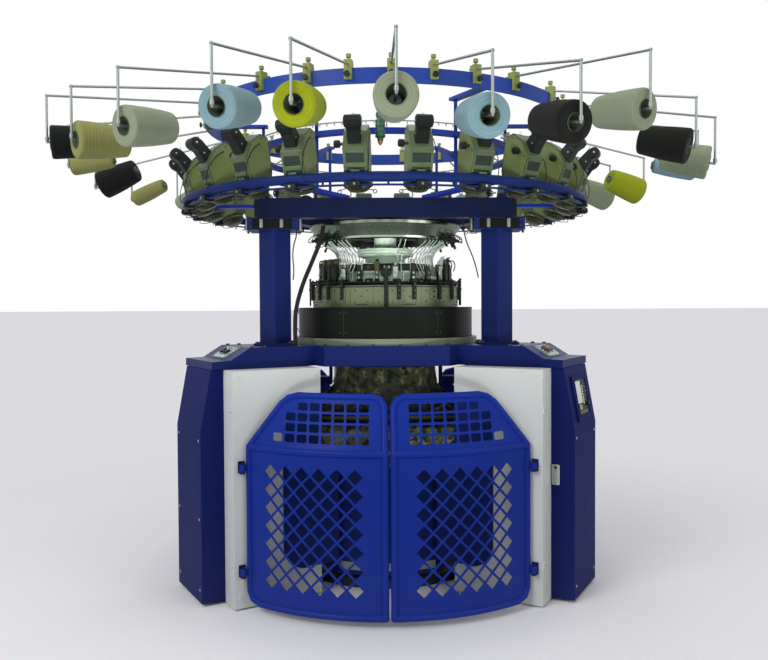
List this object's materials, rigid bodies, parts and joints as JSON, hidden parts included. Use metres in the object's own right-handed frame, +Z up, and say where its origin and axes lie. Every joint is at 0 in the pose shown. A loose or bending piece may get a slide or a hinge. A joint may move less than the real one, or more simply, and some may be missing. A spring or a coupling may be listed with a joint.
{
  "type": "circular knitting machine",
  "caption": "Circular knitting machine: three-legged stand with curved mesh gates, needle head under a ring of yarn feeders, and yarn cones on bent creel arms.",
  "frame": {"origin": "on the floor under the machine's vertical axis", "axes": "+Z up along the needle cylinder's axis, +X to the right of an operator who stands at the front, +Y to the back"},
  "size_m": [2.7551, 2.7423, 2.018],
  "materials": {
    "deep_blue_paint": "deep ultramarine gloss paint",
    "gate_blue_paint": "brighter ultramarine powder coat",
    "pale_grey_paint": "pale grey powder coat",
    "black_paint": "satin black paint",
    "cast_iron": "oiled grey cast iron",
    "machined_steel": "machined steel with an oil film",
    "cam_steel": "ground steel, slightly green",
    "polished_steel": "polished",
    "zinc_steel": "zinc plated",
    "olive_plastic": "olive green moulding",
    "black_plastic": "black moulding",
    "dark_aluminium": "dark anodised",
    "clamp_paint": "yellow green paint",
    "panel_plate": "brushed plate",
    "green_plastic": "green",
    "red_plastic": "red",
    "black_gloss": "black",
    "yarn_pale_green": "wound cotton yarn",
    "yarn_pale_blue": "wound cotton yarn",
    "yarn_lime": "wound cotton yarn",
    "yarn_tan": "wound cotton yarn",
    "yarn_charcoal": "wound cotton yarn",
    "knit": "knitted camouflage cloth",
    "belt_rubber": "black",
    "cable_jacket": "black",
    "lamp_plastic": "dark green lens stack",
    "screen_plastic": "terminal housing",
    "motor_paint": "grey blue paint"
  },
  "bodies": {
    "machine": {"band_cover": "black_paint", "base_plate": "pale_grey_paint", "bed_plate": "deep_blue_paint", "cables": "cable_jacket", "cam_ring": "cam_steel", "columns": "deep_blue_paint", "cones_charcoal": "yarn_charcoal", "cones_lime": "yarn_lime", "cones_pale_blue": "yarn_pale_blue", "cones_pale_green": "yarn_pale_green", "cones_tan": "yarn_tan", "creel_arms": "polished_steel", "creel_clamps": "clamp_paint", "creel_ring": "gate_blue_paint", "dial_cam_cap": "machined_steel", "drive_belt": "belt_rubber", "drive_motor": "motor_paint", "feeder_drums": "dark_aluminium", "feeder_housings": "olive_plastic", "feeder_ring": "gate_blue_paint", "feeder_tensioners": "black_plastic", "gate_hinges": "zinc_steel", "gear_housing": "pale_grey_paint", "guide_cage": "gate_blue_paint", "guide_plate": "black_paint", "leg_covers": "deep_blue_paint", "leg_left": "deep_blue_paint", "leg_rear": "deep_blue_paint", "leg_right": "deep_blue_paint", "levelling_feet": "cast_iron", "ring_spokes": "gate_blue_paint", "side_covers": "pale_grey_paint", "signal_lamp": "lamp_plastic", "switch_panels": "panel_plate", "top_disc": "polished_steel", "top_frame": "deep_blue_paint", "yarn_guide_ring": "zinc_steel"},
    "cabinet_door": {"cabinet_door": "deep_blue_paint", "control_panel": "screen_plastic"},
    "cabinet_latch": {"cabinet_latch": "polished_steel"},
    "start_button": {"start_button": "green_plastic"},
    "stop_button": {"stop_button": "black_gloss"},
    "inch_button": {"inch_button": "black_gloss"},
    "emergency_button": {"emergency_button": "red_plastic"},
    "rotor": {"needle_cylinder": "machined_steel", "ring_gear": "machined_steel", "takedown_frame": "gate_blue_paint", "fabric_tube": "knit"},
    "front_roller": {"front_roller": "polished_steel"},
    "rear_roller": {"rear_roller": "polished_steel"},
    "cloth_roll": {"cloth_roll": "knit"},
    "dial": {"dial": "machined_steel"},
    "pinion_shaft": {"pinion_shaft": "machined_steel"},
    "motor_pulley": {"motor_pulley": "cast_iron"},
    "gate_front_a": {"gate_front_a": "gate_blue_paint"},
    "gate_front_b": {"gate_front_b": "gate_blue_paint"},
    "gate_right_a": {"gate_right_a": "gate_blue_paint"},
    "gate_right_b": {"gate_right_b": "gate_blue_paint"},
    "gate_left_a": {"gate_left_a": "gate_blue_paint"},
    "gate_left_b": {"gate_left_b": "gate_blue_paint"}
  },
  "joints": [
    {"name": "gate_front_a_hinge", "type": "hinge", "parent": "machine", "child": "gate_front_a", "pos_m": [-0.54146, -0.63016, 0.345], "axis": [0, 0, -1], "range_deg": [0, 95]},
    {"name": "gate_front_b_hinge", "type": "hinge", "parent": "machine", "child": "gate_front_b", "pos_m": [0.54146, -0.63016, 0.345], "axis": [0, 0, 1], "range_deg": [0, 95]},
    {"name": "gate_right_a_hinge", "type": "hinge", "parent": "machine", "child": "gate_right_a", "pos_m": [0.81646, -0.15384, 0.345], "axis": [0, 0, -1], "range_deg": [0, 95]},
    {"name": "gate_right_b_hinge", "type": "hinge", "parent": "machine", "child": "gate_right_b", "pos_m": [0.275, 0.784, 0.345], "axis": [0, 0, 1], "range_deg": [0, 95]},
    {"name": "gate_left_a_hinge", "type": "hinge", "parent": "machine", "child": "gate_left_a", "pos_m": [-0.275, 0.784, 0.345], "axis": [0, 0, -1], "range_deg": [0, 95]},
    {"name": "gate_left_b_hinge", "type": "hinge", "parent": "machine", "child": "gate_left_b", "pos_m": [-0.81646, -0.15384, 0.345], "axis": [0, 0, 1], "range_deg": [0, 95]},
    {"name": "cabinet_door_hinge", "type": "hinge", "parent": "machine", "child": "cabinet_door", "pos_m": [0.78827, -0.27267, 0.45], "axis": [0, 0, 1], "range_deg": [0, 90]},
    {"name": "cabinet_latch_turn", "type": "hinge", "parent": "cabinet_door", "child": "cabinet_latch", "pos_m": [0.64438, -0.5479, 0.518], "axis": [-0.5, -0.866, 0], "range_deg": [0, 90]},
    {"name": "start_button_press", "type": "slide", "parent": "machine", "child": "start_button", "axis": [0.4456, 0.2572, -0.8575], "range_m": [0, 0.003], "stiffness_N_per_m": 400, "springref_m": -0.002},
    {"name": "stop_button_press", "type": "slide", "parent": "machine", "child": "stop_button", "axis": [0.4456, 0.2572, -0.8575], "range_m": [0, 0.003], "stiffness_N_per_m": 400, "springref_m": -0.002},
    {"name": "inch_button_press", "type": "slide", "parent": "machine", "child": "inch_button", "axis": [-0.4456, 0.2572, -0.8575], "range_m": [0, 0.003], "stiffness_N_per_m": 400, "springref_m": -0.002},
    {"name": "emergency_button_press", "type": "slide", "parent": "machine", "child": "emergency_button", "axis": [-0.4456, 0.2572, -0.8575], "range_m": [0, 0.003], "stiffness_N_per_m": 400, "springref_m": -0.002},
    {"name": "cylinder_spin", "type": "hinge", "parent": "machine", "child": "rotor", "pos_m": [0, 0, 0.5], "axis": [0, 0, 1], "continuous": true},
    {"name": "front_roller_spin", "type": "hinge", "parent": "rotor", "child": "front_roller", "pos_m": [0, -0.0305, 0.64], "axis": [1, 0, 0], "continuous": true},
    {"name": "rear_roller_spin", "type": "hinge", "parent": "rotor", "child": "rear_roller", "pos_m": [0, 0.0305, 0.64], "axis": [1, 0, 0], "continuous": true},
    {"name": "cloth_roll_spin", "type": "hinge", "parent": "rotor", "child": "cloth_roll", "pos_m": [0, 0, 0.3], "axis": [1, 0, 0], "continuous": true},
    {"name": "dial_spin", "type": "hinge", "parent": "machine", "child": "dial", "pos_m": [0, 0, 1.241], "axis": [0, 0, 1], "continuous": true},
    {"name": "drive_shaft_spin", "type": "hinge", "parent": "machine", "child": "pinion_shaft", "pos_m": [0, 0.32, 0.93], "axis": [0, 0, 1], "continuous": true},
    {"name": "motor_pulley_spin", "type": "hinge", "parent": "machine", "child": "motor_pulley", "pos_m": [0, 0.64, 0.867], "axis": [0, 0, 1], "continuous": true}
  ],
  "couplings": [
    {"joint": "front_roller_spin", "follows": "cylinder_spin", "ratio": 0.16},
    {"joint": "rear_roller_spin", "follows": "cylinder_spin", "ratio": -0.16},
    {"joint": "cloth_roll_spin", "follows": "cylinder_spin", "ratio": 0.048},
    {"joint": "dial_spin", "follows": "cylinder_spin", "ratio": 1},
    {"joint": "drive_shaft_spin", "follows": "cylinder_spin", "ratio": -7},
    {"joint": "motor_pulley_spin", "follows": "cylinder_spin", "ratio": -11.667}
  ]
}
